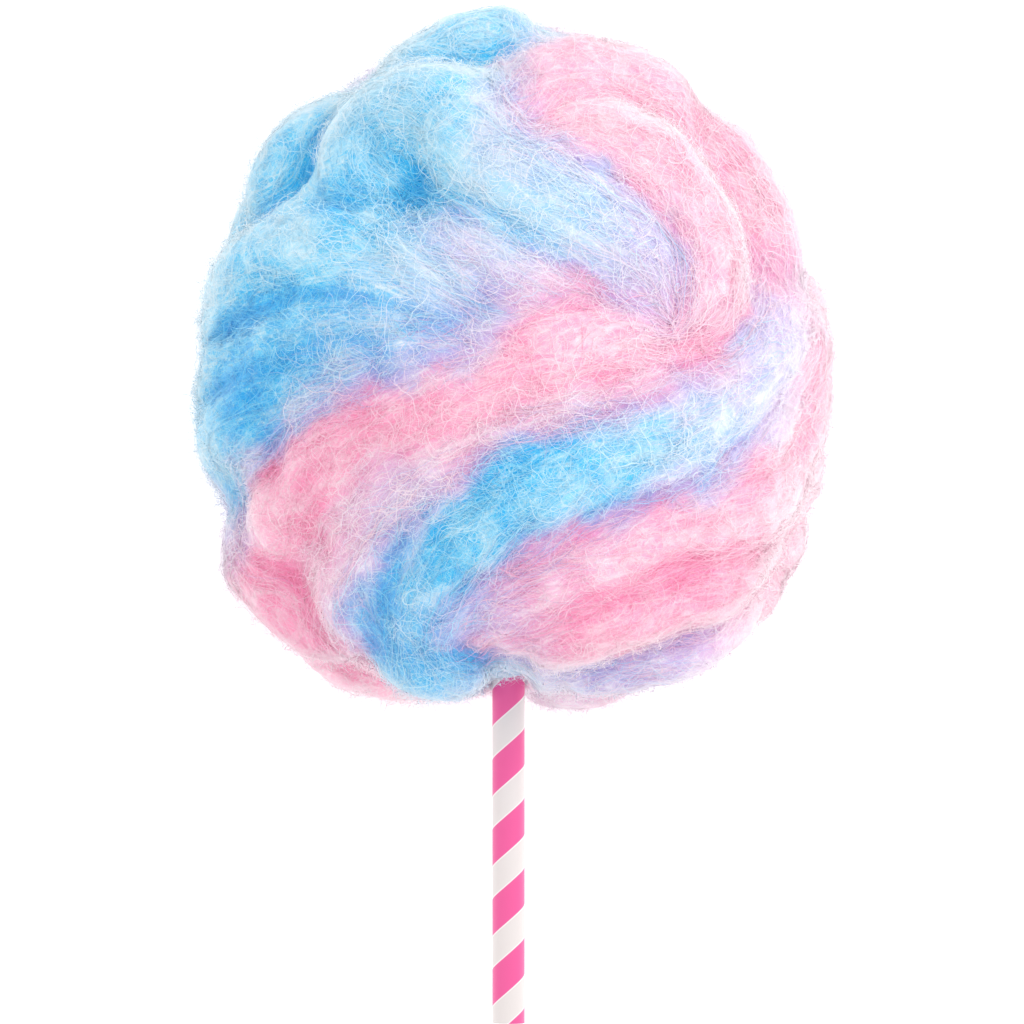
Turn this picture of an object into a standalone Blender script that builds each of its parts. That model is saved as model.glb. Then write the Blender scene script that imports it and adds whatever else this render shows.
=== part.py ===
"""Cotton candy: two flavours of spun sugar rolled round a striped paper stick, lying on its back.

Metres. +Z is up, the shown side. +Y runs along the stick, from its bare end to the crown of the floss.
The origin is the middle of the flat spot that the floss rests on, straight below the stick's axis.
"""

from collections import namedtuple
from math import cos, pi, radians, sin

import bmesh
import bpy
from mathutils import Matrix, Vector

# Driving sizes.
FLOSS_HALF_LENGTH = 0.1075
FLOSS_HALF_WIDTH = 0.0975
FLOSS_HALF_DEPTH = 0.0920
FLOSS_LEAN = 0.0015  # how far the floss sits to the right of the stick
REST_CUT = 0.0085  # how far the floss is pressed flat where it lies on the table
STICK_DIAMETER = 0.0100
STICK_WALL = 0.0010
STICK_LENGTH = 0.2500
STICK_BELOW_CENTRE = 0.2042  # from the middle of the floss to the stick's bare end
FIT_GAP = 0.0003

# The floss is a body with thick rolls laid round it.
ROLL_SINK = 0.0080  # a roll's centre line lies this far and half its girth inside the outer surface
BODY_INSET = 0.0135  # how far the body lies inside it, which sets how deep the furrows are
CROWN_BULGE = 1.8  # how full the outline is above the middle and below it, where an even oval has 2
FOOT_BULGE = 2.5

# The solid's surface.
VOXEL = 0.0022
SMOOTHING_PASSES = 8
PUFF_SIZE = 0.022
PUFF_HEIGHT = 0.0040
FLOSS_TRIANGLES = 7600

STICK_SIDES = 48
END_BEVEL = 0.0002

STICK_AXIS_HEIGHT = FLOSS_HALF_DEPTH - REST_CUT
STICK_RADIUS = STICK_DIAMETER / 2
STICK_TIP = STICK_LENGTH - STICK_BELOW_CENTRE

# A roll's girth is its radius in millimetres where it is thickest. Its route is (azimuth, height):
# degrees round the stick from the top of the lying floss, positive to +X, and millimetres along +Y.
Roll = namedtuple("Roll", "name girth route")

SHOWN_ROLLS = (
    Roll("crown_front", 12, ((-52, 82), (-45, 92), (-30, 99), (-5, 101), (12, 96))),
    Roll(
        "crown_swirl", 20,
        ((-28, 48), (-40, 58), (-42, 71), (-26, 76), (-9, 66), (4, 52), (16, 41), (25, 30), (30, 18)),
    ),
    Roll("crown_lobe", 15, ((3, 77), (14, 87), (38, 90), (58, 83), (66, 70))),
    Roll("shoulder", 17, ((3, 64), (20, 69), (33, 62), (41, 48), (44, 32), (41, 18), (34, 8))),
    Roll("upper_rim", 14, ((66, 78), (72, 64), (75, 48), (73, 32), (66, 20))),
    Roll("left_shoulder", 17, ((-60, 80), (-70, 69), (-73, 56), (-86, 44))),
    Roll("upper_flank", 12, ((-38, 47), (-48, 41), (-62, 34), (-78, 22), (-96, 8))),
    Roll("fold", 11, ((-24, 37), (-14, 35), (-4, 29), (5, 23), (13, 19))),
    Roll("sash_edge", 9, ((9, 17), (-1, 7), (-12, 1), (-25, -3), (-37, -11), (-50, -23), (-64, -36))),
    Roll(
        "sash", 17,
        ((36, 3), (24, 6), (11, 1), (-1, -6), (-14, -15), (-28, -25), (-43, -38), (-60, -52), (-82, -66)),
    ),
    Roll(
        "sash_low", 13,
        ((40, -6), (26, -9), (12, -14), (-1, -20), (-14, -29), (-26, -42), (-37, -56), (-50, -73)),
    ),
    Roll("left_flank", 18, ((-104, -2), (-86, 13), (-65, 26), (-46, 31), (-30, 29), (-17, 21), (-8, 13))),
    Roll("low_flank", 15, ((-106, -22), (-82, -8), (-54, 2), (-37, 8), (-24, 10), (-13, 6))),
    Roll("deep_flank", 17, ((-106, -44), (-84, -29), (-62, -18), (-46, -9), (-32, -2))),
    Roll(
        "ribbon", 18,
        (
            (90, 30), (66, 10), (48, -9), (33, -22), (19, -31),
            (6, -41), (-6, -52), (-15, -66), (-24, -81), (-32, -94),
        ),
    ),
    Roll(
        "ribbon_edge", 9,
        ((36, -9), (22, -18), (8, -22), (-4, -28), (-14, -38), (-19, -52), (-18, -65)),
    ),
    Roll("ribbon_low", 9, ((92, 4), (68, -14), (53, -30), (38, -41), (23, -48), (11, -58))),
    Roll("lower_sash", 14, ((-22, -45), (-32, -59), (-43, -75), (-54, -90))),
    Roll("low_band", 15, ((94, -28), (64, -43), (43, -51), (27, -57), (14, -64), (-1, -73), (-15, -81))),
    Roll("foot_band", 16, ((84, -58), (58, -67), (34, -75), (15, -84), (-3, -92))),
    Roll("under_band", 14, ((98, -72), (76, -84), (50, -93), (24, -100))),
    Roll("right_rim", 17, ((70, 24), (78, 5), (80, -16), (78, -40))),
    Roll("right_foot", 18, ((104, -40), (102, -58), (104, -74))),
    Roll("left_foot", 18, ((-90, -50), (-76, -65), (-66, -80), (-60, -93))),
    Roll("foot_puff", 18, ((-32, -82), (-30, -93), (-18, -101))),
)

# The far side carries the same rolls, half a turn on and a little lower.
FAR_TURN = 180
FAR_DROP = 4

MILLIMETRE = 0.001


def clear_scene():
    for old in list(bpy.data.objects):
        bpy.data.objects.remove(old)


def material(name, colour, roughness):
    made = bpy.data.materials.new(name)
    made.use_nodes = True
    shader = made.node_tree.nodes["Principled BSDF"]
    shader.inputs["Base Color"].default_value = (*colour, 1)
    shader.inputs["Roughness"].default_value = roughness
    shader.inputs["Metallic"].default_value = 0
    return made


def on_floss(azimuth, height, inset):
    """The point at an azimuth in radians and a height along the stick, this far inside the outer surface."""
    half_length = FLOSS_HALF_LENGTH - inset
    share = max(-1, min(1, height / FLOSS_HALF_LENGTH))
    bulge = CROWN_BULGE if share > 0 else FOOT_BULGE
    ring = (1 - abs(share) ** bulge) ** (1 / bulge)
    across = (FLOSS_HALF_WIDTH - inset) * ring * sin(azimuth)
    up = (FLOSS_HALF_DEPTH - inset) * ring * cos(azimuth)
    return Vector((across, half_length * share, STICK_AXIS_HEIGHT + up))


def body_mesh():
    """The pear-shaped body that the rolls lie on, as a sphere whose points are moved onto it."""
    made = bmesh.new()
    bmesh.ops.create_icosphere(made, subdivisions=5, radius=1)
    for vert in made.verts:
        azimuth = Vector((0, 1)).angle_signed(Vector((vert.co.x, vert.co.z)), 0)
        vert.co = on_floss(azimuth, vert.co.y * FLOSS_HALF_LENGTH, BODY_INSET)
    return made


def taper(share):
    """A roll's girth at this share of its route: full in the middle, and less at its tips."""
    return 0.6 + 0.4 * sin(pi * share) ** 0.5


def roll_curve(roll):
    """A soft rope of floss through the route's points, thick in the middle and tucked in at both ends."""
    curve = bpy.data.curves.new(roll.name, "CURVE")
    curve.dimensions = "3D"
    curve.resolution_u = 6
    curve.bevel_depth = MILLIMETRE
    curve.bevel_resolution = 4
    curve.use_fill_caps = True
    spline = curve.splines.new("BEZIER")
    spline.bezier_points.add(len(roll.route) - 1)
    inset = ROLL_SINK + roll.girth / 2 * MILLIMETRE
    for index, (azimuth, height) in enumerate(roll.route):
        point = spline.bezier_points[index]
        point.co = on_floss(radians(azimuth), height * MILLIMETRE, inset)
        point.radius = roll.girth * taper(index / (len(roll.route) - 1))
        point.handle_left_type = point.handle_right_type = "AUTO"
    made = bpy.data.objects.new(roll.name, curve)
    bpy.context.scene.collection.objects.link(made)
    return made


def far_rolls():
    """The rolls of the side that it lies on."""
    for name, girth, route in SHOWN_ROLLS:
        turned = [(azimuth + FAR_TURN, height - FAR_DROP) for azimuth, height in route]
        yield Roll(f"far_{name}", girth, turned)


def evaluated_mesh(source):
    graph = bpy.context.evaluated_depsgraph_get()
    return bpy.data.meshes.new_from_object(source.evaluated_get(graph))


def gathered(rolls):
    """One mesh holding the body and every roll, still overlapping."""
    whole = body_mesh()
    for roll in rolls:
        rope = roll_curve(roll)
        whole.from_mesh(evaluated_mesh(rope))
        bpy.data.objects.remove(rope)
    mesh = bpy.data.meshes.new("floss")
    whole.to_mesh(mesh)
    whole.free()
    return mesh


def puffed(mesh):
    """The overlapping shapes fused into one skin, softened, puffed up unevenly and thinned out."""
    floss = bpy.data.objects.new("floss", mesh)
    bpy.context.scene.collection.objects.link(floss)
    fuse = floss.modifiers.new("fuse", "REMESH")
    fuse.mode = "VOXEL"
    fuse.voxel_size = VOXEL
    soften = floss.modifiers.new("soften", "SMOOTH")
    soften.iterations = SMOOTHING_PASSES
    puffs = bpy.data.textures.new("puffs", "CLOUDS")
    puffs.noise_scale = PUFF_SIZE
    puff = floss.modifiers.new("puff", "DISPLACE")
    puff.texture = puffs
    puff.texture_coords = "LOCAL"
    puff.strength = PUFF_HEIGHT
    puff.mid_level = 0.5
    triangles = 2 * len(evaluated_mesh(floss).polygons)
    thin = floss.modifiers.new("thin", "DECIMATE")
    thin.ratio = FLOSS_TRIANGLES / triangles
    floss.data = evaluated_mesh(floss)
    floss.modifiers.clear()
    return floss


def fit_to_size(mesh):
    """Stretches the puffed floss so that its three sizes are the ones set at the top."""
    points = [vert.co for vert in mesh.vertices]
    low = Vector([min(point[axis] for point in points) for axis in range(3)])
    high = Vector([max(point[axis] for point in points) for axis in range(3)])
    half = Vector((FLOSS_HALF_WIDTH, FLOSS_HALF_LENGTH, FLOSS_HALF_DEPTH))
    stretch = Matrix.Diagonal([2 * half[axis] / (high - low)[axis] for axis in range(3)]).to_4x4()
    middle = Vector((FLOSS_LEAN, 0, STICK_AXIS_HEIGHT))
    mesh.transform(Matrix.Translation(middle) @ stretch @ Matrix.Translation(-(low + high) / 2))


def press_flat(mesh):
    """Cuts the underside off level with the table, and closes the cut with the flat spot."""
    made = bmesh.new()
    made.from_mesh(mesh)
    everything = made.verts[:] + made.edges[:] + made.faces[:]
    cut = bmesh.ops.bisect_plane(
        made, geom=everything, plane_co=(0, 0, 0), plane_no=(0, 0, -1), clear_outer=True
    )
    rim = [item for item in cut["geom_cut"] if isinstance(item, bmesh.types.BMEdge)]
    bmesh.ops.triangle_fill(made, edges=rim, use_beauty=True)
    bmesh.ops.recalc_face_normals(made, faces=made.faces[:])
    made.to_mesh(mesh)
    made.free()


def along_stick(start, end, radius, name):
    """A cylinder on the stick's axis from one height to another."""
    made = bmesh.new()
    lay_down = Matrix.Rotation(-pi / 2, 4, "X")
    middle = Matrix.Translation((0, (start + end) / 2, STICK_AXIS_HEIGHT))
    bmesh.ops.create_cone(
        made,
        cap_ends=True,
        segments=STICK_SIDES,
        radius1=radius,
        radius2=radius,
        depth=end - start,
        matrix=middle @ lay_down,
    )
    mesh = bpy.data.meshes.new(name)
    made.to_mesh(mesh)
    made.free()
    piece = bpy.data.objects.new(name, mesh)
    bpy.context.scene.collection.objects.link(piece)
    return piece


def cut_with(piece, cutter):
    """Cuts the cutter's shape from the piece, and keeps the cutter as a hidden guide."""
    cutter.hide_render = True
    cutter.display_type = "WIRE"
    cut = piece.modifiers.new(cutter.name, "BOOLEAN")
    cut.operation = "DIFFERENCE"
    cut.solver = "EXACT"
    cut.object = cutter


def make_floss():
    floss = puffed(gathered([*SHOWN_ROLLS, *far_rolls()]))
    fit_to_size(floss.data)
    press_flat(floss.data)
    way_radius = STICK_RADIUS + FIT_GAP
    cut_with(floss, along_stick(-STICK_BELOW_CENTRE, STICK_TIP + FIT_GAP, way_radius, "stick_way"))
    floss.data.materials.clear()
    floss.data.materials.append(material("spun_sugar", (0.76, 0.58, 0.80), 0.85))
    floss.data.shade_smooth()
    return floss


def make_stick():
    stick = along_stick(-STICK_BELOW_CENTRE, STICK_TIP, STICK_RADIUS, "stick")
    past = 10 * END_BEVEL
    bore = STICK_RADIUS - STICK_WALL
    cut_with(stick, along_stick(-STICK_BELOW_CENTRE - past, STICK_TIP + past, bore, "stick_bore"))
    ends = stick.modifiers.new("cut_ends", "BEVEL")
    ends.width = END_BEVEL
    ends.segments = 1
    ends.angle_limit = radians(60)
    stick.data.materials.append(material("striped_paper", (0.93, 0.36, 0.58), 0.55))
    stick.data.shade_smooth()
    stick.data.set_sharp_from_angle(angle=radians(40))
    return stick


clear_scene()
make_floss()
make_stick()
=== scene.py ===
"""Cotton candy: spun sugar in two flavours, rolled round a spirally striped paper stick.

Metres. The sweet lies on its back on a white table, its stick along Y and its shown side up.
"""

from collections import namedtuple
from math import cos, pi, radians, sin

import bmesh
import bpy
import numpy as np
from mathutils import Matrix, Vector, noise
from mathutils.bvhtree import BVHTree


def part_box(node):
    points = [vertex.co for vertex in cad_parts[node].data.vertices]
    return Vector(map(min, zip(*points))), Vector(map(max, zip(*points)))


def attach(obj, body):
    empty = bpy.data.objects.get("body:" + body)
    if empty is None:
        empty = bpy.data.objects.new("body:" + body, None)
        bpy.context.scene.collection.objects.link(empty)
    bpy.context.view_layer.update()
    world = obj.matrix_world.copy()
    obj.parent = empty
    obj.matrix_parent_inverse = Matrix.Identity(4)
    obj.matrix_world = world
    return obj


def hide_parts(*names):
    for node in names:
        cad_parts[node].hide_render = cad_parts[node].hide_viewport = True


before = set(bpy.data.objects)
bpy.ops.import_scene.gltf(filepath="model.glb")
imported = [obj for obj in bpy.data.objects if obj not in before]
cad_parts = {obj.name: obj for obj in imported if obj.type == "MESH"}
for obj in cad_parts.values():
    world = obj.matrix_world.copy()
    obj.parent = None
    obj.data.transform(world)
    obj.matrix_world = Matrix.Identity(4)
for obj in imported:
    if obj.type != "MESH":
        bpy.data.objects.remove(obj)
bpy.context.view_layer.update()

MM = 0.001
chance = np.random.default_rng(11)

# ---------------------------------------------------------------- sizes, from the frame

FLOSS_LOW, FLOSS_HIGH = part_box("floss")
STICK_LOW, STICK_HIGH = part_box("stick")
AXIS_HEIGHT = (STICK_LOW.z + STICK_HIGH.z) / 2
STICK_RADIUS = (STICK_HIGH.x - STICK_LOW.x) / 2
FLOSS_MIDDLE = Vector(((FLOSS_LOW.x + FLOSS_HIGH.x) / 2, (FLOSS_LOW.y + FLOSS_HIGH.y) / 2, AXIS_HEIGHT))
HALF_WIDTH = (FLOSS_HIGH.x - FLOSS_LOW.x) / 2
HALF_LENGTH = (FLOSS_HIGH.y - FLOSS_LOW.y) / 2
HALF_DEPTH = FLOSS_HIGH.z - AXIS_HEIGHT
BORE_RADIUS = STICK_RADIUS + 0.35 * MM

# ---------------------------------------------------------------- the rolls of floss

# A roll is a thick rope of floss. Its girth is in millimetres, and its flavours are spread evenly along it:
# 0 is the blue sugar and 1 the pink. Its route is (azimuth, height): degrees round the stick from the
# top of the lying floss, positive to +X, and height along the stick, with 107.5 at the crown. Its bloom is
# how much paler the loose sugar makes it, also spread evenly.
Roll = namedtuple("Roll", "name girth flavours route bloom", defaults=((0,),))

SHOWN_ROLLS = (
    Roll("crown_front", 12, (0, 0, 0, 0.05, 0.4), ((-52, 82), (-45, 92), (-30, 99), (-5, 101), (12, 96))),
    Roll(
        "crown_swirl", 20, (0, 0, 0, 0, 0.05, 0.1, 0.2, 0.4, 0.6),
        ((-28, 48), (-40, 58), (-42, 71), (-26, 76), (-9, 66), (4, 52), (16, 41), (25, 30), (30, 18)),
        (0, 0.05, 0.1, 0.05, 0.15, 0.28, 0.3, 0.2, 0.1),
    ),
    Roll("crown_lobe", 15, (0.7, 1, 1, 1, 0.95), ((3, 77), (14, 87), (38, 90), (58, 83), (66, 70))),
    Roll(
        "shoulder", 17, (0.85, 1, 1, 1, 1, 0.95, 0.85),
        ((3, 64), (20, 69), (33, 62), (41, 48), (44, 32), (41, 18), (34, 8)),
        (0.1, 0.05, 0, 0, 0, 0, 0),
    ),
    Roll("upper_rim", 14, (1, 1), ((66, 78), (72, 64), (75, 48), (73, 32), (66, 20)), (0.12,)),
    Roll("left_shoulder", 17, (0, 0), ((-60, 80), (-70, 69), (-73, 56), (-86, 44))),
    Roll("upper_flank", 12, (0, 0), ((-38, 47), (-48, 41), (-62, 34), (-78, 22), (-96, 8))),
    Roll(
        "fold", 11, (0.3, 0.45, 0.6, 0.7, 0.85),
        ((-24, 37), (-14, 35), (-4, 29), (5, 23), (13, 19)),
        (0.08, 0.15, 0.15, 0.1, 0.05),
    ),
    Roll(
        "sash_edge", 9, (0.8, 0.65, 0.5, 0.4, 0.4, 0.45, 0.5),
        ((9, 17), (-1, 7), (-12, 1), (-25, -3), (-37, -11), (-50, -23), (-64, -36)),
        (0.15, 0.2, 0.32, 0.42, 0.45, 0.45, 0.35),
    ),
    Roll(
        "sash", 17, (1, 1, 1, 1, 1, 1, 1, 0.95, 0.9),
        ((36, 3), (24, 6), (11, 1), (-1, -6), (-14, -15), (-28, -25), (-43, -38), (-60, -52), (-82, -66)),
        (0, 0, -0.06, -0.06, -0.06, 0, 0, 0, 0),
    ),
    Roll(
        "sash_low", 13, (0.8, 0.85, 0.9, 0.9, 0.9, 0.85, 0.9, 0.9),
        ((40, -6), (26, -9), (12, -14), (-1, -20), (-14, -29), (-26, -42), (-37, -56), (-50, -73)),
        (0.15, 0.15, 0.2, 0.2, 0.2, 0.25, 0.25, 0.1),
    ),
    Roll(
        "left_flank", 18, (0, 0, 0, 0, 0.05, 0.15, 0.4),
        ((-104, -2), (-86, 13), (-65, 26), (-46, 31), (-30, 29), (-17, 21), (-8, 13)),
        (0.22, 0.14, 0.04, 0.1, 0.18, 0.18, 0.18),
    ),
    Roll(
        "low_flank", 15, (0, 0, 0, 0.05, 0.15, 0.3),
        ((-106, -22), (-82, -8), (-54, 2), (-37, 8), (-24, 10), (-13, 6)),
        (0.2, 0.02, -0.16, -0.14, 0, 0.05),
    ),
    Roll(
        "deep_flank", 17, (0, 0, 0, 0.05, 0.2),
        ((-106, -44), (-84, -29), (-62, -18), (-46, -9), (-32, -2)),
        (0.2, 0.04, -0.14, -0.1, 0.05),
    ),
    Roll(
        "ribbon", 18, (0.8, 0.65, 0.5, 0.35, 0.15, 0.05, 0, 0, 0.05, 0.1),
        (
            (90, 30), (66, 10), (48, -9), (33, -22), (19, -31),
            (6, -41), (-6, -52), (-15, -66), (-24, -81), (-32, -94),
        ),
        (0.15, 0.15, 0.15, 0.15, 0.12, 0.05, 0, 0, 0, 0),
    ),
    Roll(
        "ribbon_edge", 9, (0.7, 0.6, 0.5, 0.6, 0.7, 0.6, 0.5),
        ((36, -9), (22, -18), (8, -22), (-4, -28), (-14, -38), (-19, -52), (-18, -65)),
        (0.25, 0.25, 0.2, 0.2, 0.25, 0.35, 0.35),
    ),
    Roll(
        "ribbon_low", 9, (0.9, 0.75, 0.6, 0.45, 0.4, 0.4),
        ((92, 4), (68, -14), (53, -30), (38, -41), (23, -48), (11, -58)),
        (0.3, 0.25, 0.2, 0.15, 0.1, 0.1),
    ),
    Roll(
        "lower_sash", 14, (0.6, 0.75, 0.9, 0.9),
        ((-22, -45), (-32, -59), (-43, -75), (-54, -90)),
        (0.3, 0.25, 0.1, 0),
    ),
    Roll(
        "low_band", 15, (1, 1, 1, 1, 0.95, 0.85, 0.6),
        ((94, -28), (64, -43), (43, -51), (27, -57), (14, -64), (-1, -73), (-15, -81)),
    ),
    Roll(
        "foot_band", 16, (1, 1, 1, 0.95, 0.8),
        ((84, -58), (58, -67), (34, -75), (15, -84), (-3, -92)),
        (-0.05,),
    ),
    Roll("under_band", 14, (0.95, 0.85, 0.6, 0.5), ((98, -72), (76, -84), (50, -93), (24, -100))),
    Roll("right_rim", 17, (0.8, 0.95, 1, 1), ((70, 24), (78, 5), (80, -16), (78, -40))),
    Roll("right_foot", 18, (1, 1), ((104, -40), (102, -58), (104, -74))),
    Roll("left_foot", 18, (0.8, 0.95, 0.95, 0.9), ((-90, -50), (-76, -65), (-66, -80), (-60, -93))),
    Roll("foot_puff", 18, (0.15, 0.1, 0.25), ((-32, -82), (-30, -93), (-18, -101))),
)

# The far side carries the same rolls, half a turn on and a little lower.
FAR_TURN = 180
FAR_DROP = 4
ROLL_SINK = 8 * MM  # a roll's centre line lies this far and half its girth inside the outer surface
ROLL_STEP = 2 * MM
NOMINAL_LENGTH = 107.5
CROWN_BULGE = 1.8  # how full the outline is above the middle and below it, where an even oval has 2
FOOT_BULGE = 2.5


def roll_point(azimuth, height, inset):
    """A point this far inside the floss's outer surface."""
    share = max(-1, min(1, height / NOMINAL_LENGTH))
    bulge = CROWN_BULGE if share > 0 else FOOT_BULGE
    ring = (1 - abs(share) ** bulge) ** (1 / bulge)
    across = (HALF_WIDTH - inset) * ring * sin(radians(azimuth))
    up = (HALF_DEPTH - inset) * ring * cos(radians(azimuth))
    return FLOSS_MIDDLE + Vector((across, (HALF_LENGTH - inset) * share, up))


def smooth_line(points, step):
    """Points a step apart on a smooth line through the given ones."""
    points = np.array(points)
    ends = np.vstack([2 * points[0] - points[1], points, 2 * points[-1] - points[-2]])
    line = []
    for before, start, end, after in zip(ends, ends[1:], ends[2:], ends[3:]):
        t = np.linspace(0, 1, max(2, int(np.linalg.norm(end - start) / step)), endpoint=False)[:, None]
        bend = 2 * before - 5 * start + 4 * end - after
        twist = 3 * (start - end) + after - before
        line.append(0.5 * (2 * start + (end - before) * t + bend * t**2 + twist * t**3))
    return np.vstack([*line, points[-1:]])


def smooth_step(low, high, values):
    share = np.clip((values - low) / (high - low), 0, 1)
    return share * share * (3 - 2 * share)


class Rope:
    """A roll's centre line as arrays: places, directions, lengths along it, flavours and bloom."""

    def __init__(self, roll, turn=0, drop=0):
        self.girth = roll.girth * MM
        inset = ROLL_SINK + self.girth / 2
        stops = [roll_point(azimuth + turn, height - drop, inset) for azimuth, height in roll.route]
        self.places = smooth_line(stops, ROLL_STEP)
        self.along = unit(np.gradient(self.places, axis=0))
        gaps = np.linalg.norm(np.diff(self.places, axis=0), axis=1)
        self.length = np.concatenate([[0], np.cumsum(gaps)])
        self.flavour, self.bloom = (self.spread(values) for values in (roll.flavours, roll.bloom))

    def spread(self, values):
        """The values, spread evenly along the roll."""
        return np.interp(self.length, np.linspace(0, self.length[-1], len(values)), values)

    def match_the_rims(self):
        """The far floss takes the flavours that the shown side has beside it: pink on the right, and on the
        left blue above the foot. This fades out towards the back."""
        across, along = self.places[:, 0] - FLOSS_MIDDLE.x, self.places[:, 1] - FLOSS_MIDDLE.y
        from_front = np.degrees(np.abs(np.arctan2(across, self.places[:, 2] - AXIS_HEIGHT)))
        left = 1 - smooth_step(-62 * MM, -42 * MM, along)
        right = 0.95 - 0.4 * smooth_step(75 * MM, 100 * MM, -along)
        rim = left + (right - left) * smooth_step(-6 * MM, 12 * MM, across)
        at_the_ends = smooth_step(60 * MM, 85 * MM, np.abs(along))
        share = np.maximum(1 - smooth_step(100, 140, from_front), at_the_ends)
        self.flavour = self.flavour * (1 - share) + rim * share
        return self


def unit(vectors):
    return vectors / np.maximum(np.linalg.norm(vectors, axis=-1, keepdims=True), 1e-12)


def dot(a, b):
    return (a * b).sum(-1)


ropes = [Rope(roll) for roll in SHOWN_ROLLS]
ropes += [Rope(roll, FAR_TURN, FAR_DROP).match_the_rims() for roll in SHOWN_ROLLS]

GRAIN_BLEND = 9  # how sharply one roll's direction gives way to the next
FLAVOUR_BLEND = 6  # and its flavour


def nearest_on(rope, places):
    """For each place, the rope's nearest point, and the distance to it in girths."""
    apart = (
        (places**2).sum(1)[:, None]
        - 2 * places @ rope.places.T
        + (rope.places**2).sum(1)[None, :]
    )
    index = apart.argmin(1)
    reach = np.sqrt(np.maximum(apart[np.arange(len(places)), index], 0)) / rope.girth
    return index, reach


# What the rolls give each place: its grain, flavour and bloom, its length along the nearest roll, that roll's
# centre and number, and a calm that falls to 0 where one roll gives way to the next.
Wound = namedtuple("Wound", "grain flavour bloom length centre which calm")


def field(places, warped):
    """What the rolls near each place give it. The flavour and bloom are read at the warped places."""
    closest = np.full(len(places), np.inf)
    second = closest.copy()
    lead = np.zeros((len(places), 3))
    length = np.zeros(len(places))
    centre = np.zeros((len(places), 3))
    which = np.zeros(len(places), int)
    found = []
    for number, rope in enumerate(ropes):
        index, reach = nearest_on(rope, places)
        nearer = reach < closest
        second = np.where(nearer, closest, np.minimum(second, reach))
        closest[nearer] = reach[nearer]
        lead[nearer] = rope.along[index][nearer]
        length[nearer] = rope.length[index][nearer]
        centre[nearer] = rope.places[index][nearer]
        which[nearer] = number
        found.append((index, reach))
    grain = np.zeros((len(places), 3))
    for rope, (index, reach) in zip(ropes, found):
        weight = np.exp(-GRAIN_BLEND * (reach - closest))
        way = rope.along[index]
        grain += (weight * np.sign(dot(way, lead) + 1e-9))[:, None] * way
    tasted = np.zeros(len(places))
    bloom = tasted.copy()
    total = tasted.copy()
    nearest = np.full(len(places), np.inf)
    found = [nearest_on(rope, warped) for rope in ropes]
    for _, reach in found:
        nearest = np.minimum(nearest, reach)
    for rope, (index, reach) in zip(ropes, found):
        weight = np.exp(-FLAVOUR_BLEND * (reach - nearest))
        tasted += weight * rope.flavour[index]
        bloom += weight * rope.bloom[index]
        total += weight
    tasted = np.clip((tasted / total - 0.07) / 0.86, 0, 1)
    calm = smooth_step(0.02, 0.16, second - closest)
    return Wound(unit(grain), tasted, bloom / total, length, centre, which, calm)


def noise_at(places, size, seed=0.0):
    """Smooth noise from about -1 to 1 at each place, with features of this size."""
    shift = Vector((seed, seed * 1.7, seed * 2.3))
    return np.array([noise.noise(Vector(place) / size + shift) for place in places])


def noise_vectors(places, size, seed=0.0):
    """Three such noises, as vectors. The library's own vector noise would differ from run to run."""
    return np.stack([noise_at(places, size, seed + apart) for apart in (0.0, 31.4, 57.9)], axis=1)


# ---------------------------------------------------------------- mesh helpers


def deselect():
    for item in bpy.context.selected_objects:
        item.select_set(False)


def make_active(piece):
    deselect()
    piece.select_set(True)
    bpy.context.view_layer.objects.active = piece


def apply_modifiers(piece):
    make_active(piece)
    for modifier in list(piece.modifiers):
        bpy.ops.object.modifier_apply(modifier=modifier.name)


def new_piece(name, mesh):
    piece = bpy.data.objects.new(name, mesh)
    bpy.context.scene.collection.objects.link(piece)
    return piece


def places_of(mesh):
    places = np.empty(3 * len(mesh.vertices))
    mesh.vertices.foreach_get("co", places)
    return places.reshape(-1, 3)


def normals_of(mesh):
    normals = np.empty(3 * len(mesh.vertices))
    mesh.vertex_normals.foreach_get("vector", normals)
    return normals.reshape(-1, 3)


def move_to(mesh, places):
    mesh.vertices.foreach_set("co", places.ravel())
    mesh.update()


# ---------------------------------------------------------------- materials


def linear(colour):
    """An sRGB hex colour as linear red, green, blue and alpha."""
    shares = [int(colour[i : i + 2], 16) / 255 for i in (1, 3, 5)]
    return (*(c / 12.92 if c <= 0.04045 else ((c + 0.055) / 1.055) ** 2.4 for c in shares), 1)


def add_node(tree, kind, links=(), **settings):
    """Adds a node. A setting named in0, in1 ... fills that input, and links are (input, socket) pairs."""
    made = tree.nodes.new(kind)
    for name, value in settings.items():
        if name.startswith("in") and name[2:].isdigit():
            made.inputs[int(name[2:])].default_value = value
        else:
            setattr(made, name, value)
    for name, socket in links:
        tree.links.new(made.inputs[name], socket)
    return made


def ramp(tree, factor, stops):
    made = add_node(tree, "ShaderNodeValToRGB", [("Fac", factor)])
    elements = made.color_ramp.elements
    while len(elements) < len(stops):
        elements.new(0.5)
    for element, (position, colour) in zip(elements, stops):
        element.position = position
        element.color = linear(colour)
    return made.outputs["Color"]


def new_material(name, roughness):
    made = bpy.data.materials.new(name)
    made.use_nodes = True
    shader = made.node_tree.nodes["Principled BSDF"]
    shader.inputs["Roughness"].default_value = roughness
    return made, made.node_tree, shader


GRAIN_MAP = "OFBake"  # across a thread's map the flavour runs from blue to pink, and up it the sugar pales
CORE_TINTS = "tints"  # the same on the core
CORE_RUN = "run"  # the core's places as lengths along its rolls and round them
CORE_CALM = "calm"  # falls to 0 where one roll gives way to the next


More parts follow.
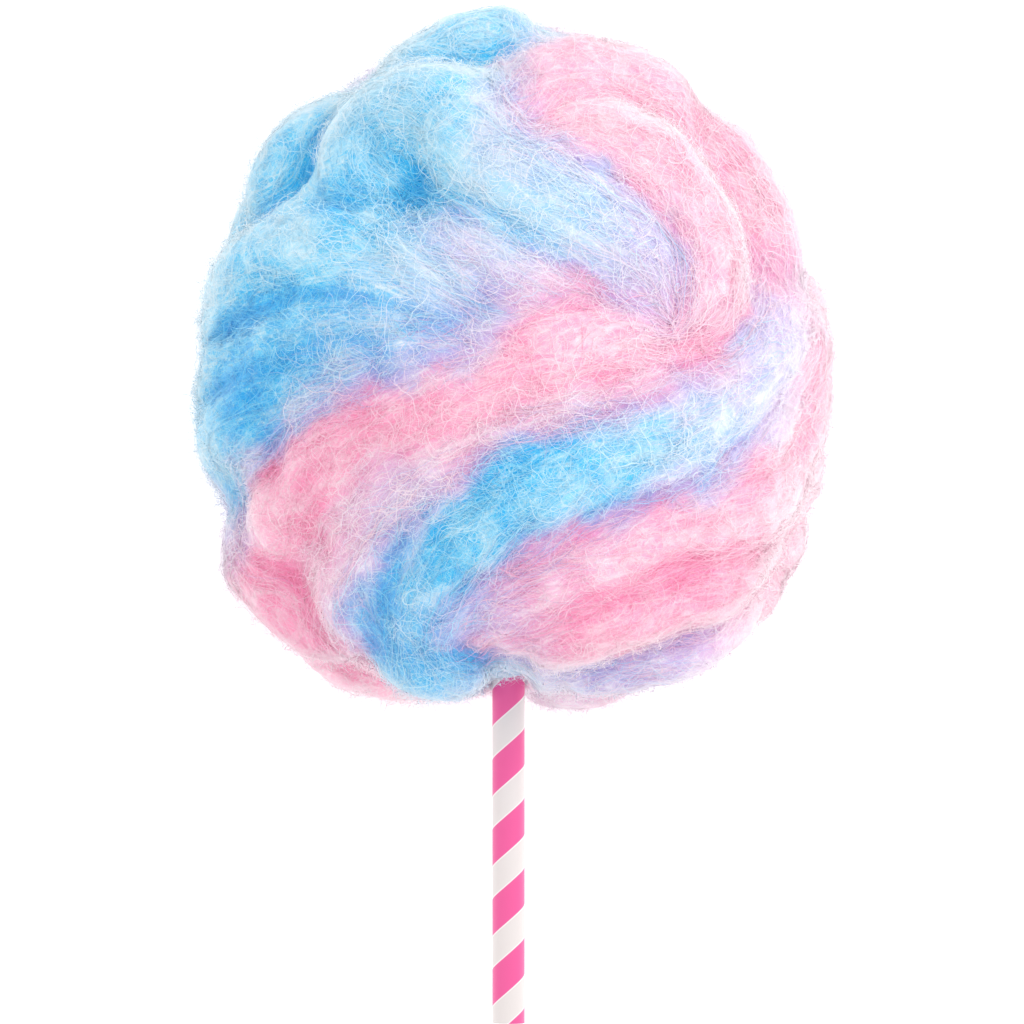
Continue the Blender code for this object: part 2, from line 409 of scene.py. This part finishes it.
def sugar_tint(tree, flavour, pale):
    """Dyed sugar: the full colour at no paleness, and paler towards white as the paleness grows, which holds
    both the looser sugar and the painted light and shade.
    """
    tint = ramp(tree, pale, BLUE_SUGAR)
    for start, sugar in ((0.0, MIXED_SUGAR), (0.5, PINK_SUGAR)):
        share = add_node(tree, "ShaderNodeMapRange", [("Value", flavour)], in1=start, in2=start + 0.5)
        mixed = add_node(tree, "ShaderNodeMix", [("Factor", share.outputs[0])], data_type="RGBA")
        tree.links.new(mixed.inputs[6], tint)
        tree.links.new(mixed.inputs[7], ramp(tree, pale, sugar))
        tint = mixed.outputs[2]
    return tint


def finish_as_sugar(shader):
    """Spun sugar is a glass: smooth threads that scatter light every way and shine softly at the edges."""
    shader.inputs["IOR"].default_value = 1.5
    shader.inputs["Specular IOR Level"].default_value = 0.3
    shader.inputs["Sheen Weight"].default_value = 0.6
    shader.inputs["Sheen Roughness"].default_value = 0.5


def loose_sugar():
    """Loose threads of spun sugar, thinner than hair."""
    made, tree, shader = new_material("loose_spun_sugar", 0.6)
    spot = add_node(tree, "ShaderNodeUVMap", uv_map=GRAIN_MAP)
    parts = add_node(tree, "ShaderNodeSeparateXYZ", [("Vector", spot.outputs["UV"])])
    tree.links.new(shader.inputs["Base Color"], sugar_tint(tree, parts.outputs["X"], parts.outputs["Y"]))
    finish_as_sugar(shader)
    return made


def packed_sugar():
    """Close-packed spun sugar: fine strands combed along each roll under a lace of crossing threads. It looks
    soft and matt. The strands and the lace are drawn coarser than real ones, so that they show."""
    made, tree, shader = new_material("packed_spun_sugar", 0.6)
    tints = add_node(tree, "ShaderNodeUVMap", uv_map=CORE_TINTS)
    parts = add_node(tree, "ShaderNodeSeparateXYZ", [("Vector", tints.outputs["UV"])])
    run = add_node(tree, "ShaderNodeAttribute", attribute_name=CORE_RUN)
    body = add_node(tree, "ShaderNodeTexCoord")

    def product(first, second):
        made = add_node(tree, "ShaderNodeMath", [(0, first)], operation="MULTIPLY")
        if isinstance(second, float):
            made.inputs[1].default_value = second
        else:
            tree.links.new(made.inputs[1], second)
        return made.outputs[0]

    def total(first, *others):
        for other in others:
            first = add_node(tree, "ShaderNodeMath", [(0, first), (1, other)], operation="ADD").outputs[0]
        return first

    def cloud(vector, size, stretch, seed, detail, twist=0.0):
        """Smooth noise with features of this size, so many times longer along the roll."""
        placed = add_node(
            tree, "ShaderNodeMapping", [("Vector", vector)],
            in1=(seed, 0, 0), in3=(1 / stretch, 1, 1),
        )
        return add_node(
            tree, "ShaderNodeTexNoise", [("Vector", placed.outputs["Vector"])],
            in2=1 / size, in3=detail, in4=0.5, in8=twist,
        )

    def strands(size, stretch, seed):
        """Streaks as a share from 0 to 1."""
        noisy = cloud(run.outputs["Vector"], size, stretch, seed, 2.0)
        share = add_node(tree, "ShaderNodeMapRange", [("Value", noisy.outputs["Fac"])], in1=0.3, in2=0.7)
        return share.outputs[0]

    def threads(vector, size, stretch, seed, width, detail, twist=0.0):
        """Thin winding lines, where the noise passes its middle, as a share from 0 to 1."""
        noisy = cloud(vector, size, stretch, seed, detail, twist)
        middle = add_node(tree, "ShaderNodeMath", [(0, noisy.outputs["Fac"])], operation="SUBTRACT", in1=0.5)
        away = add_node(tree, "ShaderNodeMath", [(0, middle.outputs[0])], operation="ABSOLUTE")
        return add_node(
            tree, "ShaderNodeMapRange", [("Value", away.outputs[0])],
            interpolation_type="SMOOTHSTEP", in1=0.0, in2=width, in3=1.0, in4=0.0,
        ).outputs[0]

    along = run.outputs["Vector"]
    anywhere = body.outputs["Object"]
    flowing = total(
        product(strands(0.9 * MM, 8, 0.1), 0.2),
        product(threads(along, 3.2 * MM, 7, 0.2, 0.05, 1.0), 0.26),
        product(threads(along, 2.1 * MM, 5, 0.3, 0.05, 1.0), 0.22),
    )
    faded = product(flowing, add_node(tree, "ShaderNodeAttribute", attribute_name=CORE_CALM).outputs["Fac"])
    pattern = total(
        faded,
        product(threads(anywhere, 5.0 * MM, 1, 0.4, 0.03, 2.0, 1.5), 0.26),
        product(threads(anywhere, 3.6 * MM, 1, 0.5, 0.035, 2.0, 1.5), 0.2),
        product(threads(anywhere, 2.4 * MM, 1, 0.6, 0.05, 1.0, 1.0), 0.16),
    )
    lifted = add_node(tree, "ShaderNodeMath", [(0, pattern)], operation="SUBTRACT", in1=0.17).outputs[0]
    pale = total(parts.outputs["Y"], lifted)
    tree.links.new(shader.inputs["Base Color"], sugar_tint(tree, parts.outputs["X"], pale))
    bump = add_node(tree, "ShaderNodeBump", [("Height", pattern)])
    bump.inputs["Strength"].default_value = 0.6
    bump.inputs["Distance"].default_value = 0.5 * MM
    tree.links.new(shader.inputs["Normal"], bump.outputs["Normal"])
    finish_as_sugar(shader)
    return made


BLUE_SUGAR = ((0.0, "#04B2F0"), (0.25, "#58CBF4"), (0.5, "#9FDFF7"), (0.75, "#C6EBF9"), (1.0, "#E2F3FB"))
MIXED_SUGAR = ((0.0, "#A89EDC"), (0.25, "#BDB2E5"), (0.5, "#D2C8ED"), (0.75, "#E2DBF3"), (1.0, "#F0ECF9"))
PINK_SUGAR = ((0.0, "#FB94BF"), (0.25, "#FCB4D1"), (0.5, "#FCCDDE"), (0.75, "#FCDAE7"), (1.0, "#FDEAF1"))


# ---------------------------------------------------------------- the core of the floss

CORE_VOXEL = 1.45 * MM
CORE_SWELL = 0.6 * MM  # how far the core stands over the solid
VOXEL_SOFTENING = 6  # rounds of smoothing that take out the voxels' steps
PLAIN_ROUNDS = 90  # the rounds that take out the rolls' furrows
PLAINER_ROUNDS = 300  # and those that take out the hollows between lobes
BORE_MARGIN = 7 * MM  # near the stick's bore and the table, the core keeps to the solid
GROUND_MARGIN = 4 * MM

FURROW_FILL = 0.72  # fluff bridges the furrows between rolls by this share of their depth
DEEP_FURROW = 2 * MM  # and what is deeper than this by a further share
DEEP_FILL = 0.6
SIDE_FILL = 0.95  # on the sides it also bridges the hollows
STICK_PARTING = 5.5 * MM  # the floss in front of the stick ends this much higher than beside it

# The core's relief, by the size of its features and their height.
BILLOWS = (20 * MM, 1.6 * MM)
LUMPS = (9 * MM, 1.0 * MM)
LOCKS = (4.2 * MM, 0.8 * MM)
STRANDS = (1.9 * MM, 0.4 * MM)
LOCK_STRETCH = 7  # locks and strands are this many times longer along their roll
PATCHES = 13 * MM  # the size of its paler and deeper patches
ROLL_GIRTH = 16 * MM  # the size of a roll that is taken for lengths round it
LOCKS_APART = 50 * MM  # keeps one roll's pattern from lining up with the next
STREAKS_APART = 40 * MM

# The flavours' borders stray so far, in waves of this size.
STRAYING = ((7 * MM, 16 * MM, 0), (3 * MM, 5 * MM, 3))

# How pale the sugar is, from 0 for the full colour to 1.
# painted shade: the furrows keep this paleness, near the full colour
PAINTED_FURROW_SHADE = -0.03
PAINTED_CREST_LIGHT = 0.36  # painted light and shade: a crest is drawn this much paler than a furrow
PATCH_PALE = 0.11
SOFT_PALE = 0.08
MIXED_PALE = 0.4  # at the most a quarter of this, where the flavours meet
PALE_LIMIT = 0.58
PAINTED_KEY_LIGHT_PALE = 0.38  # painted light: the paleness the sugar tends to towards the upper right, the crown's pink side, where the key light comes from
# painted sheen: the sides, which face away from up, are drawn this much paler, like a softly shining rim
PAINTED_RIM_SHEEN = 0.32


def cad_copy(node, name):
    """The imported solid's mesh with its loose triangles joined."""
    made = bmesh.new()
    made.from_mesh(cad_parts[node].data)
    bmesh.ops.remove_doubles(made, verts=made.verts[:], dist=0.01 * MM)
    bmesh.ops.recalc_face_normals(made, faces=made.faces[:])
    mesh = bpy.data.meshes.new(name)
    made.to_mesh(mesh)
    made.free()
    return new_piece(name, mesh)


def blurred(mesh, rounds):
    """The places and normals that the mesh has after this much smoothing."""
    rounded = new_piece("rounded", mesh.copy())
    blur = rounded.modifiers.new("blur", "SMOOTH")
    blur.iterations = rounds
    blur.factor = 0.9
    apply_modifiers(rounded)
    found = places_of(rounded.data), normals_of(rounded.data)
    bpy.data.objects.remove(rounded)
    return found


def fluff(depth, hollow, loose_and_lit, at_the_side, facing_up):
    """How far fluff lifts the core over its furrows: most where it is loose, underneath and at the sides."""
    sunk = np.clip(-depth, 0, None)
    loose = np.maximum(smooth_step(0.1, 0.9, loose_and_lit), 1 - smooth_step(-0.2, 0.35, facing_up))
    share = FURROW_FILL + (1 - FURROW_FILL) * loose
    filled = np.minimum(share * sunk + DEEP_FILL * np.clip(sunk - DEEP_FURROW, 0, None), sunk)
    return np.maximum(filled, SIDE_FILL * at_the_side * hollow)


def paleness(wound, depth, soft, patches, loose_and_lit, at_the_side):
    """How pale the sugar is. Painted shade keeps it least pale in the furrows, and painted light makes it
    paler on the crests and towards the key light at the upper right, where the floss is also looser; a
    painted sheen pales the sides. Random patches, the lumps and locks that stand out, the rolls' bloom and
    the meeting of the flavours make it paler too.
    """
    lit_crest = smooth_step(-1.6 * MM, 1.4 * MM, depth)
    pale = PAINTED_FURROW_SHADE + PAINTED_CREST_LIGHT * lit_crest + PATCH_PALE * patches + SOFT_PALE * (soft + loose_and_lit) + wound.bloom
    pale = np.minimum(pale + MIXED_PALE * wound.flavour * (1 - wound.flavour), PALE_LIMIT)
    pale = pale + (PAINTED_KEY_LIGHT_PALE - pale) * 0.6 * smooth_step(0.2, 1.1, loose_and_lit)
    # painted sheen on the sides
    return pale + PAINTED_RIM_SHEEN * at_the_side


def parting(places):
    """How much higher the floss ends in front of the stick."""
    in_front = smooth_step(-3 * MM, 3 * MM, places[:, 2] - AXIS_HEIGHT)
    beside = smooth_step(4 * MM, 11 * MM, np.abs(places[:, 0]))
    above = smooth_step(4 * MM, 30 * MM, places[:, 1] - FLOSS_LOW.y)
    return STICK_PARTING * in_front * (1 - beside) * (1 - above)


def make_core():
    """The close-packed floss under the loose threads: the solid's shape, combed along its rolls."""
    core = cad_copy("floss", "floss_core")
    remesh = core.modifiers.new("fine", "REMESH")
    remesh.mode = "VOXEL"
    remesh.voxel_size = CORE_VOXEL
    soften = core.modifiers.new("soften", "SMOOTH")
    soften.iterations = VOXEL_SOFTENING
    apply_modifiers(core)
    mesh = core.data
    places, normals = places_of(mesh), normals_of(mesh)
    plain, broad_normals = blurred(mesh, PLAIN_ROUNDS)
    plainer, _ = blurred(mesh, PLAINER_ROUNDS)

    strayed = places.copy()
    for far, size, seed in STRAYING:
        strayed += far * noise_vectors(places, size, seed)
    wound = field(places, strayed)
    side = unit(np.cross(wound.grain, broad_normals))
    out = places - wound.centre
    lateral = np.arctan2(dot(out, side), dot(out, broad_normals)) * ROLL_GIRTH
    combed = np.stack([wound.length / LOCK_STRETCH, lateral, wound.which * LOCKS_APART], axis=1)
    billows, lumps = noise_at(places, BILLOWS[0], 4), noise_at(places, LUMPS[0], 8)
    locks, strands = noise_at(combed, LOCKS[0]), noise_at(combed, STRANDS[0], 5)
    relief = BILLOWS[1] * billows + LUMPS[1] * lumps + LOCKS[1] * locks + STRANDS[1] * strands

    depth = dot(places - plain, broad_normals)  # above 0 on a crest, below in a furrow
    hollow = dot(plainer - places, broad_normals)
    # grows towards the upper right, where the key light comes from: there the floss is looser, and painted
    # light pales it
    loose_and_lit = (places[:, 0] - FLOSS_MIDDLE.x) / HALF_WIDTH + (places[:, 1] - FLOSS_MIDDLE.y) / HALF_LENGTH
    facing_up = broad_normals[:, 2]
    at_the_side = 1 - smooth_step(0.2, 0.65, np.abs(facing_up))
    filled = fluff(depth, hollow, loose_and_lit, at_the_side, facing_up)
    # the paleness holds painted shade in the furrows, painted light on the crests and towards the upper
    # right, and a painted sheen on the sides
    pale = paleness(wound, depth, lumps + locks, noise_at(places, PATCHES, 2), loose_and_lit, at_the_side)

    from_axis = np.hypot(places[:, 0], places[:, 2] - AXIS_HEIGHT)
    free = np.clip((from_axis - BORE_RADIUS - 1 * MM) / BORE_MARGIN, 0, 1)
    free = np.where(places[:, 1] < STICK_HIGH.y + 4 * MM, free, 1)
    free = free * np.clip(places[:, 2] / GROUND_MARGIN, 0, 1)
    moved = places + normals * ((relief + CORE_SWELL) * free)[:, None]
    moved = moved + broad_normals * (filled * free)[:, None]
    moved[:, 1] += parting(places)
    move_to(mesh, moved)
    mesh.shade_smooth()
    run = np.stack([wound.length, lateral, wound.which * STREAKS_APART], axis=1)
    mesh.attributes.new(CORE_RUN, "FLOAT_VECTOR", "POINT").data.foreach_set("vector", run.ravel())
    mesh.attributes.new(CORE_CALM, "FLOAT", "POINT").data.foreach_set("value", wound.calm)
    return core, Surface(mesh, broad_normals, wound.grain, wound.flavour, pale)


class Surface:
    """The core's outside, with what its threads need to know at each place."""

    def __init__(self, mesh, ups, grain, flavour, pale):
        self.places = places_of(mesh)
        mesh.calc_loop_triangles()
        corners = np.empty(3 * len(mesh.loop_triangles), int)
        mesh.loop_triangles.foreach_get("vertices", corners)
        self.corners = corners.reshape(-1, 3)
        self.tree = BVHTree.FromPolygons(self.places.tolist(), self.corners.tolist())
        self.ups, self.grain, self.flavour, self.pale = ups, grain, flavour, pale
        a, b, c = (self.places[self.corners[:, i]] for i in range(3))
        middle = (a + b + c) / 3
        from_axis = np.hypot(middle[:, 0], middle[:, 2] - AXIS_HEIGHT)
        in_bore = (from_axis < BORE_RADIUS + 1.5 * MM) & (middle[:, 1] < STICK_HIGH.y + 3 * MM)
        under = middle[:, 2] < 1.2 * MM
        area = np.linalg.norm(np.cross(b - a, c - a), axis=1) / 2
        self.middle = middle
        self.area = area * ~in_bore * ~under

    def nearest(self, spots):
        """The closest places on the surface, and a corner of the mesh beside each."""
        found = [self.tree.find_nearest(spot) for spot in spots.tolist()]
        return np.array([hit[0] for hit in found]), self.corners[[hit[2] for hit in found], 0]


# ---------------------------------------------------------------- the threads

# The sway is how far a thread starts off the grain, the swing how far it winds to each side of its way in
# waves of this length, and the curl how tightly it coils round, in turns a centimetre. Its lift is how high
# it lies over the core, and its pale how much paler than the core it is. So many threads lie in one lock,
# this far apart. Those with a rim of 1 lie only on the sides. The threads are drawn thicker than real ones.
Thread = namedtuple(
    "Thread", "name count points step width sway swing wave curl lift clump pale lock spread rim",
    defaults=(0,),
)

CLUMP_SIZE = 9 * MM
BAREST = 0.08  # the fewest threads that a place between clumps has, as a share

KINDS = (
    Thread("combed", 6000, 17, 2.8 * MM, 0.14 * MM, 14, 28, 18 * MM, 0, (0.0, 2.2), 0.4, 0.24, 8, 2.4 * MM),
    Thread("crimped", 7600, 13, 1.3 * MM, 0.15 * MM, 30, 60, 6 * MM, 0, (0.0, 1.6), 0.7, 0.18, 4, 1.4 * MM),
    Thread("crimped", 7600, 13, 1.1 * MM, 0.15 * MM, 40, 70, 5 * MM, 0, (0.2, 2.4), 0.7, 0.32, 1, 0),
    Thread("curled", 7600, 13, 0.9 * MM, 0.15 * MM, 90, 50, 5 * MM, 0.9, (0.5, 3.2), 1, 0.55, 1, 0),
    Thread("wisp", 7600, 13, 1.6 * MM, 0.13 * MM, 35, 45, 9 * MM, 0.2, (1.0, 4.6), 0.5, 0.6, 3, 2.0 * MM),
    Thread("halo", 3000, 13, 1.5 * MM, 0.14 * MM, 60, 60, 6 * MM, 0.4, (0.8, 3.4), 0.3, 0.75, 1, 0, 1),
)


def write_map(mesh, name, values):
    """Gives the mesh a map that its colours are read from, one (flavour, paleness) for each corner."""
    layer = mesh.uv_layers.new(name=name)
    layer.data.foreach_set("uv", values.ravel())


def ribbons(name, lines, across, ups, flavour, pale):
    """One mesh of flat threads. lines is threads x points x 3, and across is each point's half width. They
    take the light as the floss under them does, along ups."""
    threads, points = lines.shape[:2]
    verts = np.stack([lines - across, lines + across], axis=2).reshape(-1, 3)
    corner = np.arange(threads * points * 2).reshape(threads, points, 2)
    faces = np.stack([corner[:, :-1, 0], corner[:, 1:, 0], corner[:, 1:, 1], corner[:, :-1, 1]], axis=-1)
    faces = faces.reshape(-1, 4)
    mesh = bpy.data.meshes.new(name)
    mesh.from_pydata(verts.tolist(), [], faces.tolist())
    taste = (flavour[:, :, None] + np.array((-0.006, 0.006))).reshape(-1)
    light = np.repeat(pale.ravel(), 2)
    order = faces.ravel()
    write_map(mesh, GRAIN_MAP, np.stack([taste[order], light[order]], axis=1))
    mesh.shade_smooth()
    mesh.normals_split_custom_set_from_vertices(np.repeat(ups.reshape(-1, 3), 2, axis=0).tolist())
    return new_piece(name, mesh)


def waves(count, length, wave):
    """Smooth winding from about -1 to 1 along each thread, in waves of about this length."""
    total = np.zeros((count, len(length)))
    for share, strength in ((1, 0.7), (0.55, 0.4)):
        phase = chance.uniform(0, 2 * pi, size=(count, 1))
        stretch = chance.uniform(0.7, 1.4, size=(count, 1))
        total += strength * np.sin(2 * pi * length[None, :] / (wave * share * stretch) + phase)
    return total


def eased(lines, rounds=2):
    """The lines with their small kinks taken out."""
    for _ in range(rounds):
        lines[:, 1:-1] = (lines[:, :-2] + 2 * lines[:, 1:-1] + lines[:, 2:]) / 4
    return lines


def lay(kind, surface, count):
    """Lays locks of threads on the core: each starts at random and winds along the grain as its kind does."""
    clumps = 1 + kind.clump * 1.8 * noise_at(surface.middle, CLUMP_SIZE, kind.width / MM)
    weight = surface.area * np.clip(clumps, BAREST, None)
    steep = smooth_step(0.25, 0.75, np.abs(surface.ups[surface.corners[:, 0], 2]))
    weight = weight * (1 - kind.rim * steep)
    locks = count // kind.lock
    chosen = chance.choice(len(surface.corners), size=locks, p=weight / weight.sum())
    length = np.arange(kind.points) * kind.step
    turns = radians(kind.sway) * chance.normal(size=(locks, 1))
    turns = turns + radians(kind.swing) * waves(locks, length, kind.wave)
    curl = kind.curl * chance.normal(loc=1, scale=0.5, size=(locks, 1))
    curl = curl * chance.choice((-1, 1), size=(locks, 1))
    turns = turns + 2 * pi * curl * length[None, :] / (10 * MM)
    here = np.repeat(surface.middle[chosen], kind.lock, axis=0)
    turns = np.repeat(turns, kind.lock, axis=0)
    way = np.repeat(chance.choice((-1, 1), size=(locks, 1)), kind.lock, axis=0)
    way = surface.grain[surface.nearest(here)[1]] * way
    if kind.lock > 1:
        turns = turns + radians(kind.swing) * 0.6 * waves(locks * kind.lock, length, kind.wave / 2)
        stagger = chance.normal(scale=4 * kind.spread, size=(len(here), 1))
        here = here + way * stagger + chance.normal(scale=kind.spread, size=here.shape)
    lines, ups, tastes, pales = [], [], [], []
    for number in range(kind.points):
        here, corner = surface.nearest(here)
        up, lead = surface.ups[corner], surface.grain[corner]
        way = lead * np.sign(dot(lead, way) + 1e-9)[:, None]
        side = unit(np.cross(up, way))
        level = unit(way - up * dot(way, up)[:, None])
        turn = turns[:, number, None]
        lines.append(here)
        ups.append(up)
        tastes.append(surface.flavour[corner])
        pales.append(surface.pale[corner])
        here = here + (level * np.cos(turn) + side * np.sin(turn)) * kind.step
    return np.stack(lines, 1), np.stack(ups, 1), np.stack(tastes, 1), np.stack(pales, 1)


def make_threads(kind, surface, number):
    count = kind.count
    lines, ups, tastes, pales = lay(kind, surface, count)
    count = len(lines)
    lines = eased(lines)
    share = np.linspace(0, 1, kind.points)[None, :]
    arch = np.sin(pi * share) ** 0.6
    low, high = kind.lift
    height = low + (high - low) * chance.beta(1.2, 2.2, size=(count, 1))
    ripple = 0.25 * height * waves(count, np.arange(kind.points) * kind.step, 9 * MM)
    lines = lines + ups * ((height + ripple) * arch * MM - 0.3 * MM * (1 - arch))[:, :, None]
    lines[:, :, 2] = np.maximum(lines[:, :, 2], 0.3 * MM)
    along = unit(np.gradient(lines, axis=1))
    flat = unit(np.cross(ups, along))
    tilt = chance.normal(scale=radians(15), size=(count, 1, 1))
    across = flat * np.cos(tilt) + ups * np.sin(tilt)
    taper = 0.3 + 0.7 * np.sin(pi * share) ** 0.5
    width = kind.width * chance.uniform(0.6, 1.4, size=(count, 1)) * taper / 2
    taste = 0.6 * tastes.mean(1, keepdims=True) + 0.4 * tastes
    taste = taste + (0.015 + 0.9 * taste * (1 - taste)) * chance.normal(size=(count, 1))
    pale = 0.5 * pales.mean(1, keepdims=True) + 0.5 * pales
    # the threads take the core's painted light and shade: they stay deep in colour in the furrows and pale
    # more on the crests
    pale = pale + kind.pale * (0.28 + 1.45 * pale) + chance.normal(scale=0.09, size=(count, 1))
    pale = pale + 0.04 * (share - 0.5) + 0.02 * (np.arange(kind.points) % 2)
    taste = np.clip(taste, 0.012, 0.988)
    pale = np.clip(pale, 0.01, 0.99)
    return ribbons(f"{kind.name}_{number}", lines, across * width[:, :, None], ups, taste, pale)


def make_floss():
    core, surface = make_core()
    mesh = core.data
    loops = np.empty(len(mesh.loops), int)
    mesh.loops.foreach_get("vertex_index", loops)
    write_map(mesh, CORE_TINTS, np.stack([surface.flavour, surface.pale], axis=1)[loops])
    mesh.materials.clear()
    mesh.materials.append(packed_sugar())
    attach(core, "root")
    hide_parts("floss")
    sugar = loose_sugar()
    for number, kind in enumerate(KINDS, 1):
        threads = make_threads(kind, surface, number)
        threads.data.materials.append(sugar)
        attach(threads, "root")


# ---------------------------------------------------------------- the stick

STRIPE_PITCH = 21.5 * MM
STRIPE_START = -118.0 * MM
WHITE_SHARE = 0.46
STRIPE_EDGE = 0.012  # the soft border of the print, as a share of the pitch
WALL = 1 * MM
RIM = 0.2 * MM
STRIPE_SLACK = 0.14  # how much steeper the wrap runs on the front and back than on the sides


def striped_paper():
    """Spirally wound paper tube, printed in two colours and smooth from its wax. It gives a soft sheen."""
    made, tree, shader = new_material("waxed_striped_paper", 0.36)
    spot = add_node(tree, "ShaderNodeTexCoord")
    parts = add_node(tree, "ShaderNodeSeparateXYZ", [("Vector", spot.outputs["Object"])])

    def worked(operation, *links, **settings):
        return add_node(tree, "ShaderNodeMath", links, operation=operation, **settings).outputs[0]

    raised = worked("SUBTRACT", (0, parts.outputs["Z"]), in1=AXIS_HEIGHT)
    turn = worked("ARCTAN2", (0, parts.outputs["X"]), (1, raised))
    swung = worked("SINE", (0, worked("MULTIPLY", (0, turn), in1=2.0)))
    wrapped = worked("MULTIPLY_ADD", (0, swung), (2, turn), in1=STRIPE_SLACK)
    share = worked("MULTIPLY", (0, wrapped), in1=1 / (2 * pi))
    climb = worked("SUBTRACT", (0, parts.outputs["Y"]), in1=STRIPE_START)
    wound = worked("DIVIDE", (0, climb), in1=STRIPE_PITCH)
    stripe = worked("FRACT", (0, worked("SUBTRACT", (0, wound), (1, share))))
    stops = (
        (0.0, "#FBF3F3"),
        (2 * STRIPE_EDGE, "#E2DAD8"),
        (WHITE_SHARE - 2 * STRIPE_EDGE, "#E2DAD8"),
        (WHITE_SHARE, "#FBF3F3"),
        (WHITE_SHARE + STRIPE_EDGE, "#EA5899"),
        (1 - STRIPE_EDGE, "#EA5899"),
        (1.0, "#FBF3F3"),
    )
    tree.links.new(shader.inputs["Base Color"], ramp(tree, stripe, stops))
    return made


def make_stick():
    length = STICK_HIGH.y - STICK_LOW.y
    deselect()
    bpy.ops.mesh.primitive_cylinder_add(
        vertices=64,
        radius=STICK_RADIUS,
        depth=length,
        end_fill_type="NOTHING",
        location=(0, (STICK_LOW.y + STICK_HIGH.y) / 2, AXIS_HEIGHT),
        rotation=(pi / 2, 0, 0),
    )
    tube = bpy.context.object
    tube.name = tube.data.name = "striped_stick"
    bpy.ops.object.transform_apply(location=True, rotation=True, scale=True)
    wall = tube.modifiers.new("wall", "SOLIDIFY")
    wall.thickness = WALL
    wall.offset = -1
    rim = tube.modifiers.new("rim", "BEVEL")
    rim.width = RIM
    rim.segments = 2
    rim.angle_limit = radians(60)
    apply_modifiers(tube)
    tube.data.shade_smooth()
    tube.data.set_sharp_from_angle(angle=radians(50))
    tube.data.materials.append(striped_paper())
    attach(tube, "root")
    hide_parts("stick")


# ---------------------------------------------------------------- table, light and camera

CAMERA_DISTANCE = 2.6  # from the stick's axis
VIEW_MIDDLE = (0.00108, -0.0469)
VIEW_WIDTH = 0.3151  # what the camera sees at the axis
SENSOR_WIDTH = 36  # millimetres
TABLE_SIZE = 8
TABLE_GAP = 0.2 * MM
TABLE_GLOW = 0.35
ROOM_LIGHT = 1.04
KEY_PLACE = (0.75, 0.4, 1.0)
KEY_SIZE = 0.8
KEY_POWER = 4.5


def make_studio():
    """A white table in an evenly lit white room, with one soft light from the right."""
    scene = bpy.context.scene
    deselect()
    bpy.ops.mesh.primitive_plane_add(size=TABLE_SIZE, location=(0, 0, -TABLE_GAP))
    table = bpy.context.object
    table.name = "table"
    white, _, shader = new_material("white_table", 0.8)
    shader.inputs["Base Color"].default_value = linear("#FAFAFA")
    shader.inputs["Emission Color"].default_value = linear("#FFFFFF")
    shader.inputs["Emission Strength"].default_value = TABLE_GLOW
    table.data.materials.append(white)

    world = bpy.data.worlds.new("studio")
    world.use_nodes = True
    world.node_tree.nodes["Background"].inputs["Color"].default_value = linear("#FFFFFF")
    world.node_tree.nodes["Background"].inputs["Strength"].default_value = ROOM_LIGHT
    scene.world = world

    lamp = bpy.data.lights.new("key", "AREA")
    lamp.size = KEY_SIZE
    lamp.energy = KEY_POWER
    key = bpy.data.objects.new("key", lamp)
    key.location = KEY_PLACE
    key.rotation_euler = (Vector((0, 0, AXIS_HEIGHT)) - key.location).to_track_quat("-Z", "Y").to_euler()
    scene.collection.objects.link(key)

    view = bpy.data.cameras.new("camera")
    view.sensor_width = SENSOR_WIDTH
    view.lens = SENSOR_WIDTH * CAMERA_DISTANCE / VIEW_WIDTH
    camera = bpy.data.objects.new("camera", view)
    camera.location = (*VIEW_MIDDLE, AXIS_HEIGHT + CAMERA_DISTANCE)
    scene.collection.objects.link(camera)
    scene.camera = camera
    scene.view_settings.view_transform = "Standard"


make_studio()
make_floss()
make_stick()
